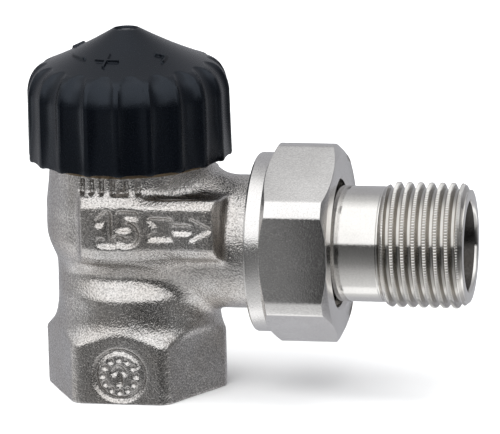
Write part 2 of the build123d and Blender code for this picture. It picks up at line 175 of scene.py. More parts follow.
def thread_rows(angles, start, end, pitch, crest, lead, limit=None, notch=None, inside=False):
    """Rows of a right-handed thread from start to end.

    lead is where a crest crosses angle zero. limit(along) bounds the radius where the thread
    runs out, and notch(angles) is the depth of the cuts across the crest.
    """
    depth = thread_depth_share * pitch
    rows = []
    first = math.floor((start - lead) / pitch) - 1
    last = math.ceil((end - lead) / pitch) + 1
    for turn in range(first, last):
        for offset, sink, cut in thread_section:
            along = lead + pitch * (turn + offset + angles / TURN)
            along = np.clip(along, start, end)
            radius = crest - depth * sink
            if notch is not None:
                radius = radius - cut * notch(angles)
            radius = radius + 0 * angles
            if limit is not None:
                bound = limit(along)
                radius = np.maximum(radius, bound) if inside else np.minimum(radius, bound)
            rows.append([along, radius])
    return rows


def fade_out(start, end):
    """Radius limit of a thread that fades out at both ends, each given as (place, radius, slope)."""
    start_place, start_radius, start_slope = start
    end_place, end_radius, end_slope = end

    def limit(along):
        rise = start_radius + (along - start_place) * start_slope
        fall = end_radius + (end_place - along) * end_slope
        return np.minimum(rise, fall)

    return limit


# ------------ materials
def node_material(name):
    """A new node material and its parts: (material, tree, shader, object coordinates)."""
    material = bpy.data.materials.new(name)
    material.use_nodes = True
    tree = material.node_tree
    shader = tree.nodes["Principled BSDF"]
    place = tree.nodes.new("ShaderNodeTexCoord")
    return material, tree, shader, place.outputs["Object"]


def noise_node(tree, place, size_mm, detail=2.0, stretch=(1, 1, 1)):
    """Noise whose features are about size_mm across."""
    scaled = tree.nodes.new("ShaderNodeMapping")
    scaled.inputs["Scale"].default_value = [s / (size_mm * MM) for s in stretch]
    tree.links.new(place, scaled.inputs["Vector"])
    noise = tree.nodes.new("ShaderNodeTexNoise")
    noise.inputs["Scale"].default_value = 1.0
    noise.inputs["Detail"].default_value = detail
    tree.links.new(scaled.outputs["Vector"], noise.inputs["Vector"])
    return noise.outputs["Fac"]


def math_node(tree, operation, first, *values):
    """A math node whose first input is linked; each other input is a number or a link."""
    node = tree.nodes.new("ShaderNodeMath")
    node.operation = operation
    tree.links.new(first, node.inputs[0])
    for socket, value in zip(list(node.inputs)[1:], values):
        if isinstance(value, (int, float)):
            socket.default_value = value
        else:
            tree.links.new(value, socket)
    return node.outputs[0]


def ramp_node(tree, factor, low, high, stops=(0.3, 0.7)):
    """Maps a factor to a range of colours or grey levels."""
    ramp = tree.nodes.new("ShaderNodeValToRGB")
    for element, stop, value in zip(ramp.color_ramp.elements, stops, (low, high)):
        element.position = stop
        element.color = (*value, 1) if isinstance(value, tuple) else (value, value, value, 1)
    tree.links.new(factor, ramp.inputs["Fac"])
    return ramp.outputs["Color"]


def mix_node(tree, blend, first, second):
    """One colour blended with another: MULTIPLY or ADD."""
    mix = tree.nodes.new("ShaderNodeMix")
    mix.data_type = "RGBA"
    mix.blend_type = blend
    mix.inputs["Factor"].default_value = 1.0
    tree.links.new(first, mix.inputs["A"])
    tree.links.new(second, mix.inputs["B"])
    return mix.outputs["Result"]


def bump_node(tree, height, depth_mm, under=None):
    """Relief of that depth, on top of the relief under it."""
    bump = tree.nodes.new("ShaderNodeBump")
    bump.inputs["Distance"].default_value = depth_mm * MM
    tree.links.new(height, bump.inputs["Height"])
    if under is not None:
        tree.links.new(under, bump.inputs["Normal"])
    return bump.outputs["Normal"]


turned_grain = (1, 1, 8)       # grain drawn out around a turned piece
broad_mm = 6.0                 # size of the patches of tint on metal
moulded_broad_mm = 9.0


def metal(name, colour, dark, roughness, grain_mm, depth_mm, stretch=(1, 1, 1), speckle=1.0):
    """Bare or plated metal with fine grain. speckle is the shade of the darkest grains."""
    material, tree, shader, place = node_material(name)
    shader.inputs["Metallic"].default_value = 1.0
    fine = noise_node(tree, place, grain_mm, 3.0, stretch)
    broad = noise_node(tree, place, broad_mm)
    tint = ramp_node(tree, broad, dark, colour)
    grains = ramp_node(tree, fine, speckle, 1.0)
    tree.links.new(mix_node(tree, "MULTIPLY", tint, grains), shader.inputs["Base Color"])
    tree.links.new(ramp_node(tree, fine, *roughness), shader.inputs["Roughness"])
    tree.links.new(bump_node(tree, fine, depth_mm), shader.inputs["Normal"])
    return material


def cast_nickel():
    """Nickel plate over a shot-blasted casting: bright grain with darker, rougher pits and broad pores."""
    material, tree, shader, place = node_material("cast_nickel")
    shader.inputs["Metallic"].default_value = 1.0
    grain = noise_node(tree, place, size_mm=0.31, detail=3.0)
    pores = noise_node(tree, place, size_mm=0.8)
    stain = noise_node(tree, place, size_mm=broad_mm, detail=3.0)
    tint = ramp_node(tree, stain, low=(0.60, 0.565, 0.53), high=(0.70, 0.68, 0.66))
    pits = ramp_node(tree, grain, low=0.62, high=1.0, stops=(0.32, 0.6))
    tree.links.new(mix_node(tree, "MULTIPLY", tint, pits), shader.inputs["Base Color"])
    tree.links.new(ramp_node(tree, grain, low=0.24, high=0.13), shader.inputs["Roughness"])
    coarse = bump_node(tree, pores, depth_mm=0.045)
    tree.links.new(bump_node(tree, grain, depth_mm=0.11, under=coarse), shader.inputs["Normal"])
    return material


def moulded(name, colour, light, roughness, grain_mm=0.25, depth_mm=0.012, specular=0.4,
            specular_tint=(1, 1, 1)):
    """Moulded plastic or rubber with a fine eroded skin."""
    material, tree, shader, place = node_material(name)
    shader.inputs["Specular IOR Level"].default_value = specular
    shader.inputs["Specular Tint"].default_value = (*specular_tint, 1)
    fine = noise_node(tree, place, grain_mm, 3.0)
    broad = noise_node(tree, place, moulded_broad_mm)
    tree.links.new(ramp_node(tree, broad, colour, light), shader.inputs["Base Color"])
    tree.links.new(ramp_node(tree, fine, *roughness), shader.inputs["Roughness"])
    tree.links.new(bump_node(tree, fine, depth_mm), shader.inputs["Normal"])
    return material


casting = cast_nickel()
machined = metal(
    "machined_nickel", colour=(0.74, 0.72, 0.70), dark=(0.68, 0.66, 0.64),
    roughness=(0.10, 0.22), grain_mm=0.22, depth_mm=0.012,
)
bright_tube = metal(
    "turned_nickel", colour=(0.78, 0.76, 0.73), dark=(0.72, 0.70, 0.67),
    roughness=(0.06, 0.13), grain_mm=0.3, depth_mm=0.006, speckle=0.93,
)
# darker nickel for the deep part of the thread grooves: painted shade between the crests
painted_shade_root = metal(
    "painted_shade_root", colour=(0.56, 0.54, 0.51), dark=(0.48, 0.46, 0.43),
    roughness=(0.08, 0.18), grain_mm=0.3, depth_mm=0.008,
)
# near-black metal for the inside of the pipe: painted shade inside the bore
painted_shade_bore = metal(
    "painted_shade_bore", colour=(0.10, 0.095, 0.09), dark=(0.06, 0.055, 0.05),
    roughness=(0.24, 0.4), grain_mm=0.4, depth_mm=0.02,
)
nut_nickel = metal(
    "nut_nickel", colour=(0.83, 0.81, 0.79), dark=(0.77, 0.75, 0.73),
    roughness=(0.12, 0.27), grain_mm=0.24, depth_mm=0.026, speckle=0.82,
)
bare_brass = metal(
    "turned_brass", colour=(0.76, 0.57, 0.28), dark=(0.66, 0.48, 0.22),
    roughness=(0.2, 0.32), grain_mm=0.2, depth_mm=0.006, stretch=turned_grain,
)
bare_thread = metal(
    "thread_brass", colour=(0.36, 0.27, 0.17), dark=(0.24, 0.18, 0.12),
    roughness=(0.3, 0.45), grain_mm=0.2, depth_mm=0.006,
)
stainless = metal(
    "stainless", colour=(0.66, 0.66, 0.67), dark=(0.58, 0.58, 0.59),
    roughness=(0.16, 0.26), grain_mm=0.15, depth_mm=0.004, stretch=turned_grain,
)
cap_plastic = moulded(
    "cap_plastic", colour=(0.0008, 0.0012, 0.0022), light=(0.0011, 0.0017, 0.0031),
    roughness=(0.21, 0.29), specular=0.39, specular_tint=(0.76, 0.86, 1.0),
)
insert_plastic = moulded(
    "insert_plastic", colour=(0.03, 0.03, 0.033), light=(0.04, 0.04, 0.044), roughness=(0.4, 0.5)
)
dial_plastic = moulded(
    "dial_plastic", colour=(0.68, 0.67, 0.62), light=(0.74, 0.73, 0.69), roughness=(0.38, 0.48)
)
seal_rubber = moulded(
    "seal_rubber", colour=(0.012, 0.012, 0.012), light=(0.02, 0.02, 0.02),
    roughness=(0.55, 0.7), grain_mm=0.15, depth_mm=0.01,
)

finishes = (
    (bare_brass, ("insert_housing", "gland_nut", "spring_seat", "disc_holder", "disc_nut")),
    (bare_brass, ("cap_press_disc",)),
    (stainless, ("actuating_pin", "spindle", "spindle_circlip", "return_spring", "dial_snap_ring")),
    (insert_plastic, ("port_cage", "throttle_sleeve")),
    (dial_plastic, ("preset_dial",)),
    (seal_rubber, ("housing_oring", "throttle_oring", "gland_outer_oring", "gland_inner_oring")),
    (seal_rubber, ("disc_seal",)),
)
for finish, node_names in finishes:
    for node_name in node_names:
        for material_slot in frame["nodes"][node_name].material_slots:
            material_slot.material = finish

# ------------ valve body, as one cast solid
hex_half = 13.62
hex_turned_radius = 15.3
hex_height = 9.9
hex_slope_rise = 1.7
waist_radius = 12.85
waist_bottom_z = 13.1
waist_shift = 0.7              # the waist is fuller towards the outlet
pinch_heights = (17.5, 21.0, 24.2)
pinch_depths = (13.0, 10.8, 11.5)    # half the waist's depth, front to back, at those heights
chamber_radius = 14.2
chamber_top_z = 32.3
relief_radius = 13.3
relief_bottom_z = 38.2
neck_foot_z = 36.4             # the chamber narrows from its top up to here
neck_foot_radius = relief_radius + 0.35
neck_end_z = relief_bottom_z + 1
neck_end_radius = relief_radius + 0.1
head_thread_z = 39.9
neck_core_radius = 14.0
core_chamfer = 0.7
branch_radius = 11.1
union_thread_x = 22.2
union_core_radius = 11.9
pad_front = 14.8
pad_bottom_z = 26.9
pad_top_z = 33.8
pad_left_x = -5.6
pad_right_x = 16.6
back_pad_right_x = 11.5
pad_end_slope = 0.4            # a pad's right end leans out behind its face
pad_end_depth = 2.2
waist_blend = 1.0              # sizes of the fillets between the parts of the casting
branch_blend = 4.6
chamber_blend = 1.7
pad_blend = 1.6
mark_depth = 0.55
mark_reach = 1.5               # a mark cuts nothing further below the surface than this
bar_wall_slope = 0.4
back_arrow_shift = 5.4
socket_mouth_radius = 11.1
socket_bore_radius = 10.6
socket_end_z = 13.0
seat_bore_radius = 6.0
seat_top_z = 16.5
chamber_floor_z = 15.0
chamber_bore_radius = 9.8
insert_ledge_z = 32.2
insert_bore_radius = 11.0
neck_mouth_z = 44.6
neck_mouth_radius = 12.2
outlet_bore_radius = 7.0
past_axis = -1.0               # outlines start past the axis, so that no edge of theirs lies on it
voxel = 0.28
edge_softness = 0.27           # every edge of the casting is rounded by about this much
fine_lump_mm, fine_lump_height = 1.1, 0.03
broad_lump_mm, broad_lump_height = 4.5, 0.09


def line_distance(u, v, lines):
    """Distance to the nearest of a set of lines, each a list of points."""
    nearest = np.full(np.broadcast(u, v).shape, 1e9, dtype=np.float32)
    for line in lines:
        for (u0, v0), (u1, v1) in zip(line, line[1:]):
            du, dv = u1 - u0, v1 - v0
            share = np.clip(((u - u0) * du + (v - v0) * dv) / (du * du + dv * dv), 0, 1)
            gap = (u - u0 - share * du) ** 2 + (v - v0 - share * dv) ** 2
            nearest = np.minimum(nearest, gap)
    return np.sqrt(nearest)


def polygon_distance(u, v, outline):
    """Signed distance to a closed outline, negative inside."""
    closed = outline + outline[:1]
    inside = np.zeros(np.broadcast(u, v).shape, dtype=bool)
    for (u0, v0), (u1, v1) in zip(closed, closed[1:]):
        if v1 != v0:
            crosses = (v0 > v) != (v1 > v)
            inside ^= crosses & (u < u0 + (v - v0) * (u1 - u0) / (v1 - v0))
    return np.where(inside, -1, 1) * line_distance(u, v, [closed])


def strokes_distance(u, v, lines, half_width):
    """Signed distance to a set of pen strokes, each a list of points."""
    return line_distance(u, v, lines) - half_width


def smooth_union(a, b, blend):
    """Union of two solids with a fillet of about the blend size."""
    share = np.clip(0.5 + 0.5 * (b - a) / blend, 0, 1)
    return b + (a - b) * share - blend * share * (1 - share)


def blurred(field, passes):
    """Rounds every edge of the solid a little more with each pass."""
    for _ in range(passes):
        for axis in range(3):
            ahead = np.roll(field, -1, axis)
            behind = np.roll(field, 1, axis)
            field = 0.5 * field + 0.25 * (ahead + behind)
    return field


def lumps(x, y, z, size, seed):
    """Smooth random unevenness between about -1 and 1, with features of that size."""
    counts = [int((c[-1] - c[0]) / size) + 3 for c in (x, y, z)]
    values = np.random.default_rng(seed).uniform(-1, 1, counts)
    for axis, c in enumerate((x, y, z)):
        spots = (c - c[0]) / size
        base = np.floor(spots).astype(int)
        share = spots - base
        share = share * share * (3 - 2 * share)
        shape = [1, 1, 1]
        shape[axis] = len(c)
        share = share.reshape(shape)
        values = np.take(values, base, axis) * (1 - share) + np.take(values, base + 1, axis) * share
    return values.astype(np.float32)


def arc_points(centre, radius, start_deg, end_deg, steps):
    turns = [math.radians(start_deg + (end_deg - start_deg) * i / steps) for i in range(steps + 1)]
    return [(centre[0] + radius * math.cos(a), centre[1] + radius * math.sin(a)) for a in turns]


def flow_arrow(u, v):
    """A fletched arrow towards +X."""
    left, neck, barb, tip = 6.3, 9.7, 13.4, 16.1
    mid = 30.4
    tail, shaft, head = 1.55, 0.5, 1.5
    outline = [
        (left, mid - tail), (neck, mid - tail), (neck, mid - shaft),
        (barb, mid - shaft), (barb - 0.2, mid - head), (tip, mid),
        (barb - 0.2, mid + head), (barb, mid + shaft), (neck, mid + shaft),
        (neck, mid + tail), (left, mid + tail), (left + 1.3, mid),
    ]
    return polygon_distance(u, v, outline)


def size_figures(u, v):
    """The nominal size, 15, as two figures."""
    foot, top = 27.9, 32.6
    one = [(-2.1, top - 1.2), (-1.0, top), (-1.0, foot)]
    one_foot = [(-2.0, foot), (0.0, foot)]
    five = [(3.6, top), (1.5, top), (1.4, 30.6)]
    bowl = arc_points((2.2, 29.35), 1.45, 125, -145, 14)
    pen_half_width = 0.36
    return strokes_distance(u, v, [one, one_foot, five, bowl], pen_half_width)


def tally_bars(u, v):
    """A row of plain upright bars and a box above the pad, where the real casting has lettering."""
    foot, top = 36.1, 39.0
    bars = [[(x, foot), (x, top)] for x in (-5.3, -3.6, -1.9, 4.1)]
    left, right = 0.0, 2.2
    box = [(left, foot), (right, foot), (right, top), (left, top), (left, foot)]
    pen_half_width = 0.22
    return strokes_distance(u, v, bars + [box], pen_half_width)


def date_clock(u, v):
    """A round foundry date mark: a ring, twelve dots and a pointer."""
    height = 5.0               # of its centre, on the axis
    ring_radius, dot_circle_radius = 4.1, 2.8
    line_half_width, pointer_half_width = 0.12, 0.14
    v = v - height
    mark = np.abs(np.hypot(u, v) - ring_radius) - line_half_width
    for hour in range(12):
        angle = hour * TURN / 12
        dot_u = dot_circle_radius * math.cos(angle)
        dot_v = dot_circle_radius * math.sin(angle)
        mark = np.minimum(mark, np.hypot(u - dot_u, v - dot_v) - line_half_width)
    pointer = [(0, -1.4), (0, 1.3)]
    barbs = [(-0.8, 0.5), (0, 1.4), (0.8, 0.5)]
    return np.minimum(mark, strokes_distance(u, v, [pointer, barbs], pointer_half_width))


def sink_mark(solid, mark, below_surface, slope=1.0):
    """Cuts a mark, mark_depth deep.

    below_surface is the depth under the face, and slope is how far the walls widen for each
    step towards the face.
    """
    height = mark_depth - below_surface
    cut = np.maximum((mark - slope * height) / math.hypot(1, slope), -height)
    cut = np.maximum(cut, below_surface - mark_reach)
    return np.maximum(solid, -cut)


def hexagon_socket(gx, depth, radius, gz):
    """Hexagon socket, turned round at its corners and sloped into the waist."""
    below_base, hidden_z = -3, 16
    hexagon = np.maximum(depth, np.abs(gx) * math.cos(math.pi / 6) + depth * 0.5) - hex_half
    outline = [
        (past_axis, below_base), (hex_turned_radius, below_base), (hex_turned_radius, hex_height),
        (hex_half + 0.1, hex_height + hex_slope_rise),
        (waist_radius, waist_bottom_z), (waist_radius - 1, hidden_z),
        (past_axis, hidden_z),
    ]
    return np.maximum(hexagon, polygon_distance(radius, gz, outline))


def pinched_waist(gx, gy, gz):
    """Waist, pinched front and back above a sloping shoulder. Its ends are hidden in its neighbours."""
    hidden_low_z, hidden_high_z = 11.5, 28
    pinch = np.interp(gz, pinch_heights, pinch_depths).astype(np.float32)
    waist = np.hypot((gx - waist_shift) / (waist_radius + waist_shift), gy / pinch) - 1
    to_distance = 0.9
    side = waist * waist_radius * to_distance
    return np.maximum(side, np.maximum(hidden_low_z - gz, gz - hidden_high_z))


def chamber_and_neck(radius, gz):
    """Round chamber that narrows into the neck."""
    outline = [
        (past_axis, 24.0), (11.3, 24.1), (12.8, 24.4), (chamber_radius - 0.5, 25.4),
        (chamber_radius, 26.9), (chamber_radius, chamber_top_z),
        (neck_foot_radius, neck_foot_z), (neck_end_radius, neck_end_z),
        (past_axis, neck_end_z),
    ]
    return polygon_distance(radius, gz, outline)


def outlet_branch(gx, reach):
    """Outlet branch with a domed inner end."""
    branch = np.hypot(reach, np.minimum(gx, 0)) - branch_radius
    return np.maximum(branch, gx - union_thread_x)


def marking_pads(gx, gy, gz, depth):
    """Pads for the marks, front and back, with a sloping top and foot."""
    hidden_depth = 7.0
    outline = [
        (pad_front, pad_bottom_z), (pad_front, pad_top_z), (13.6, 35.1),
        (12.7, 35.2), (11.0, 34.6), (hidden_depth, 34.2), (hidden_depth, 24.6),
        (12.0, 24.6), (13.4, 25.3),
    ]
    pad = polygon_distance(depth, gz, outline)
    lean = pad_end_slope * np.clip(pad_front - depth, 0, pad_end_depth)
    right_end = np.where(gy < 0, pad_right_x, back_pad_right_x) + lean
    return np.maximum(pad, np.maximum(pad_left_x - gx, gx - right_end))


def with_marks(solid, x, z, gy, radius):
    """Sinks the marks into the pads, the front of the neck and the hexagon's front face."""
    u, v = x[:, None], z[None, :]
    front_marks = np.minimum(flow_arrow(u, v), size_figures(u, v))[:, None, :]
    solid = sink_mark(solid, front_marks, pad_front + gy)
    solid = sink_mark(solid, flow_arrow(u + back_arrow_shift, v)[:, None, :], pad_front - gy)
    neck_heights = (chamber_top_z, neck_foot_z, neck_end_z)
    neck_radii = (chamber_radius, neck_foot_radius, neck_end_radius)
    neck_front = np.interp(z, neck_heights, neck_radii).astype(np.float32)
    far_below = 9
    below_neck = np.where(gy < 0, neck_front - radius, far_below)
    solid = sink_mark(solid, tally_bars(u, v)[:, None, :], below_neck, bar_wall_slope)
    return sink_mark(solid, date_clock(u, v)[:, None, :], hex_half + gy)


def with_machined_outside(solid, gx, gz, radius, reach):
    """Adds the relief below the head thread and the cores that carry threads, and cuts the base flat."""
    outline = [
        (past_axis, relief_bottom_z), (relief_radius, relief_bottom_z),
        (relief_radius, head_thread_z),
        (neck_core_radius, head_thread_z + core_chamfer),
        (neck_core_radius, neck_top_z), (past_axis, neck_top_z),
    ]
    solid = np.minimum(solid, polygon_distance(radius, gz, outline))
    solid = np.maximum(solid, body_base_z - gz)
    union_start_x = union_thread_x - 1
    union_ends = np.maximum(union_start_x - gx, gx - union_face_x)
    return np.minimum(solid, np.maximum(reach - union_core_radius, union_ends))


def bored(solid, gx, gz, radius, reach):
    """Cuts the socket, seat, chamber and insert bores, then the outlet bore with its cone."""
    below_base, above_neck = -2, 48
    spindle_outline = [
        (past_axis, below_base), (socket_mouth_radius, below_base),
        (socket_mouth_radius, 0.2), (socket_bore_radius, 0.8),
        (socket_bore_radius, socket_end_z), (seat_bore_radius, socket_end_z + 1),
        (seat_bore_radius, seat_top_z), (7.4, seat_top_z), (7.8, chamber_floor_z),
        (chamber_bore_radius, chamber_floor_z),
        (chamber_bore_radius, insert_ledge_z), (insert_bore_radius, insert_ledge_z),
        (insert_bore_radius, neck_mouth_z), (neck_mouth_radius, neck_mouth_z),
        (neck_mouth_radius, above_neck), (past_axis, above_neck),
    ]
    solid = np.maximum(solid, -polygon_distance(radius, gz, spindle_outline))
    past_face = 33
    outlet_outline = [
        (0, past_axis), (0, outlet_bore_radius), (27.2, outlet_bore_radius),
        (30.6, 8.96), (past_face, 10.3), (past_face, past_axis),
    ]
    return np.maximum(solid, -polygon_distance(gx, reach, outlet_outline))


def casting_field(x, y, z):
    """Signed distance field of the whole valve body on a grid, negative inside."""
    gx, gy, gz = x[:, None, None], y[None, :, None], z[None, None, :]
    radius = np.hypot(gx, gy)
    reach = np.hypot(gy, gz - outlet_z)
    depth = np.abs(gy)
    lower = smooth_union(hexagon_socket(gx, depth, radius, gz), pinched_waist(gx, gy, gz), waist_blend)
    upper = smooth_union(chamber_and_neck(radius, gz), outlet_branch(gx, reach), branch_blend)
    solid = smooth_union(lower, upper, chamber_blend)
    solid = smooth_union(solid, marking_pads(gx, gy, gz, depth), pad_blend)
    solid = blurred(solid, round(2 * (edge_softness / voxel) ** 2))
    fine = fine_lump_height * lumps(x, y, z, fine_lump_mm, seed=3)
    broad = broad_lump_height * lumps(x, y, z, broad_lump_mm, seed=5)
    solid += fine + broad
    solid = with_marks(solid, x, z, gy, radius)
    solid = with_machined_outside(solid, gx, gz, radius, reach)
    return bored(solid, gx, gz, radius, reach)


def sample(field, low, spots):
    """Reads the field between grid points."""
    place = (spots - low) / voxel
    base = np.clip(np.floor(place).astype(int), 0, np.array(field.shape) - 2)
    share = place - base
    total = 0
    for corner in np.ndindex(2, 2, 2):
        weight = np.prod(np.where(corner, share, 1 - share), axis=1)
        total = total + weight * field[tuple((base + corner).T)]
    return total


def surface_of(field, low):
    """Points and quads of the field's zero surface: one point per crossed cell, drawn onto the surface."""
    inside = field < 0
    cell_counts = np.array(field.shape) - 1
    count = 0
    for corner in np.ndindex(2, 2, 2):
        window = tuple(slice(c, c + n) for c, n in zip(corner, cell_counts))
        count = count + inside[window].astype(np.int8)
    cells = np.argwhere((count > 0) & (count < 8))
    number = np.full(count.shape, -1, dtype=np.int64)
    number[tuple(cells.T)] = np.arange(len(cells))
    total = np.zeros((len(cells), 3))
    crossed = np.zeros(len(cells))
    for axis in range(3):
        step = np.zeros(3, dtype=int)
        step[axis] = 1
        for corner in np.ndindex(2, 2, 2):
            if corner[axis]:
                continue
            near = cells + corner
            a = field[tuple(near.T)]
            b = field[tuple((near + step).T)]
            cross = (a < 0) != (b < 0)
            share = np.where(cross, a / np.where(cross, a - b, 1), 0)
            spot = near + share[:, None] * step
            total += np.where(cross[:, None], spot, 0)
            crossed += cross
    points = low + voxel * total / crossed[:, None]
    refinements, least_slope, furthest_move = 2, 0.5, voxel / 3
    for _ in range(refinements):
        value = sample(field, low, points)
        steps = np.eye(3) * voxel / 2
        rises = [sample(field, low, points + step) - sample(field, low, points - step) for step in steps]
        slope = np.stack(rises, axis=1) / voxel
        steep = np.maximum((slope**2).sum(axis=1), least_slope**2)
        move = slope * (value / steep)[:, None]
        points = points - np.clip(move, -furthest_move, furthest_move)
    quads = []
    for axis in range(3):
        others = [a for a in range(3) if a != axis]
        ahead = [slice(None)] * 3
        behind = [slice(None)] * 3
        ahead[axis], behind[axis] = slice(1, None), slice(None, -1)
        change = inside[tuple(behind)] != inside[tuple(ahead)]
        edges = np.argwhere(change)
        edges = edges[(edges[:, others[0]] > 0) & (edges[:, others[1]] > 0)]
        around = []
        for shift_u, shift_v in ((0, 0), (1, 0), (1, 1), (0, 1)):
            cell = edges.copy()
            cell[:, others[0]] -= shift_u
            cell[:, others[1]] -= shift_v
            around.append(number[tuple(cell.T)])
        quads.append(np.stack(around, axis=1))
    return points, np.concatenate(quads)


def make_valve_body():
    margin, half_width = 1.2, 16.0
    low = np.array([-half_width - margin, -half_width - margin, body_base_z - margin])
    high = np.array([union_face_x + margin, half_width + margin, neck_top_z + margin])
    axes = [np.arange(a, b, voxel, dtype=np.float32) for a, b in zip(low, high)]
    points, quads = surface_of(casting_field(*axes), low)
    body_finishes = [casting, machined, bare_thread]
    piece = add_mesh("cast_body", points, quads, "body", "valve_body", body_finishes, 40)
    paint_machined_faces(piece.data)


def paint_machined_faces(mesh):
    """Gives bores and turned faces the machined finish, and the relief under the cap bare metal."""
    centres = np.empty(len(mesh.polygons) * 3)
    mesh.polygons.foreach_get("center", centres)
    x, y, z = (centres.reshape(-1, 3) / MM).T
    radius = np.hypot(x, y)
    reach = np.hypot(y, z - outlet_z)
    is_machined, is_bare = 1, 2
    choice = np.zeros(len(x), dtype=np.int32)
    narrow_part = (z > socket_end_z + 0.5) & (z < insert_ledge_z - 0.2)
    bore_radius = np.where(narrow_part, chamber_bore_radius + 0.3, insert_bore_radius + 0.4)
    outlet_reach = outlet_bore_radius + 0.3
    choice[(radius < bore_radius) & (reach > outlet_reach)] = is_machined
    choice[(reach < outlet_reach) & (x > 0)] = is_machined
    choice[z < body_base_z + 0.12] = is_machined
    choice[x > union_thread_x + 0.1] = is_machined
    choice[z > head_thread_z] = is_machined
    in_relief = (z > relief_bottom_z + 0.2) & (z < head_thread_z + core_chamfer)
    choice[in_relief & (radius > relief_radius - 1.3)] = is_bare
    mesh.polygons.foreach_set("material_index", choice)


make_valve_body()


# ------------ threads on the body
body_thread_columns = 120
thread_end_gap = 0.02          # an outside thread stops this far before the end face
run_out_height = 0.1           # height over the core at which an outside thread starts
core_sink = 0.4                # how far its sleeve reaches into the core
inlet_thread_z = 0.15
inlet_sleeve_radius = 10.9


def body_thread(name, about, start, end, pitch, crest, lead, limit, core_radius, inside=False):
    """A closed sleeve that carries one of the body's threads."""
    angles = turn_angles(body_thread_columns)
    thread = thread_rows(angles, start, end, pitch, crest, lead, limit, inside=inside)
    core = rings(angles, [(end, core_radius), (start, core_radius)])
    rows = thread + core + thread[:1]
    add_turned(name, about, angles, rows, "body", "valve_body", [machined], 50)


def make_body_threads():
    foot = neck_core_radius + run_out_height
    limit = fade_out((head_thread_z, foot, 1.0), (neck_top_z, foot, 1.0))
    body_thread(
        "head_thread", about_z, head_thread_z, neck_top_z - thread_end_gap, head_pitch,
        head_crest_radius, head_thread_z, limit, neck_core_radius - core_sink,
    )
    foot = union_core_radius + run_out_height
    limit = fade_out((union_thread_x, foot, 0.8), (union_face_x, foot, 0.9))
    body_thread(
        "union_thread", about_x, union_thread_x, union_face_x - thread_end_gap, pipe_pitch,
        union_crest_radius, union_thread_x, limit, union_core_radius - core_sink,
    )
    inlet_root_radius = inlet_minor_radius + thread_depth_share * pipe_pitch
    body_thread(
        "inlet_thread", about_z, inlet_thread_z, socket_end_z, pipe_pitch, inlet_root_radius, 0.0,
        lambda along: inlet_sleeve_radius - (along - body_base_z), inlet_sleeve_radius, inside=True,
    )


make_body_threads()

# ------------ tailpiece
tail_plain_radius = 9.6
tail_bore_radius = 7.5
tail_flange_radius = 11.8
tail_flange_x = 30.9
tail_flange_end_x = 32.3
tail_thread_x = 42.9
tail_face_radius = 9.3
tail_crest_lead = 44.55        # a crest crosses angle zero here
tail_painted_shade_share = 0.45         # painted shade in the grooves starts this far down the thread
crest_notches = 136
notch_depth = 0.36


def crest_notch(angles):
    """Depth of the knurl across the thread's crests: a row of round beads."""
    across_bead = (crest_notches * angles / TURN) % 1 * 2 - 1
    return notch_depth * (1 - np.sqrt(1 - across_bead**2))


def make_tailpiece():
    """The pipe. Offsets of a few tenths in its outline are broken edges."""
    angles = turn_angles(6 * crest_notches)
    nose = [
        (tail_nose_x + 0.05, tail_bore_radius - 0.4),
        (tail_nose_x, tail_bore_radius - 0.2),
        (tail_nose_x + 0.2, tail_bore_radius + 0.05), (tail_flange_x - 0.1, 9.05),
        (tail_flange_x, 9.15), (tail_flange_x, tail_flange_radius - 0.2),
        (tail_flange_x + 0.2, tail_flange_radius),
        (tail_flange_end_x - 0.2, tail_flange_radius),
        (tail_flange_end_x, tail_flange_radius - 0.2),
        (tail_flange_end_x, tail_plain_radius + 0.3),
        (tail_flange_end_x + 0.3, tail_plain_radius),
        (tail_thread_x - 0.35, tail_plain_radius),
        (tail_thread_x - 0.2, tail_plain_radius - 0.12),
        (tail_thread_x - 0.02, tail_plain_radius - 0.12),
    ]
    mouth = [
        (tail_end_x - 0.03, tail_face_radius - 0.02),
        (tail_end_x, tail_face_radius - 0.12), (tail_end_x, tail_bore_radius + 0.3),
        (tail_end_x - 0.1, tail_bore_radius + 0.2),
        (tail_end_x - 0.5, tail_bore_radius), (tail_flange_x + 3, tail_bore_radius),
        (tail_nose_x + 0.3, tail_bore_radius - 0.45),
        (tail_nose_x + 0.05, tail_bore_radius - 0.4),
    ]
    limit = fade_out((tail_thread_x, tail_plain_radius, 0.62), (tail_end_x, tail_face_radius, 0.8))
    thread = thread_rows(
        angles, tail_thread_x, tail_end_x - 0.05, pipe_pitch, tail_crest_radius, tail_crest_lead,
        limit, crest_notch,
    )
    rows = rings(angles, nose) + thread + rings(angles, mouth)
    pipe_finishes = [bright_tube, painted_shade_bore, painted_shade_root]
    pipe = add_turned(
        "tail_pipe", about_x, angles, rows, "tail", "tailpiece", pipe_finishes, 38
    )
    in_painted_bore_shade, in_painted_root_shade = 1, 2
    shade_start_reach = tail_crest_radius - tail_painted_shade_share * thread_depth_share * pipe_pitch
    for face in pipe.data.polygons:
        x, y, z = face.center / MM
        reach = math.hypot(y, z - outlet_z)
        # faces inside the bore get the near-black metal, as painted shade
        if tail_nose_x + 0.3 < x < tail_end_x - 0.4 and reach < tail_bore_radius + 0.05:
            face.material_index = in_painted_bore_shade
        # faces deep in the thread's grooves get the darker nickel, as painted shade
        if tail_thread_x + 0.1 < x < tail_end_x - 0.3 and tail_bore_radius + 1 < reach < shade_start_reach:
            face.material_index = in_painted_root_shade


make_tailpiece()

# ------------ union nut
nut_half = 15.0
nut_turned_radius = 16.6
nut_hex_x = 24.3
nut_skirt_radius = 14.9
nut_lip_x = 32.35
nut_lip_bore_radius = 10.65
nut_mouth_radius = 13.75
nut_thread_clearance = 0.16
nut_flange_clearance = 0.25
nut_flat_angle = math.radians(180 - 2.6)
chamfer_slope = math.tan(math.radians(30))
nut_columns = 360


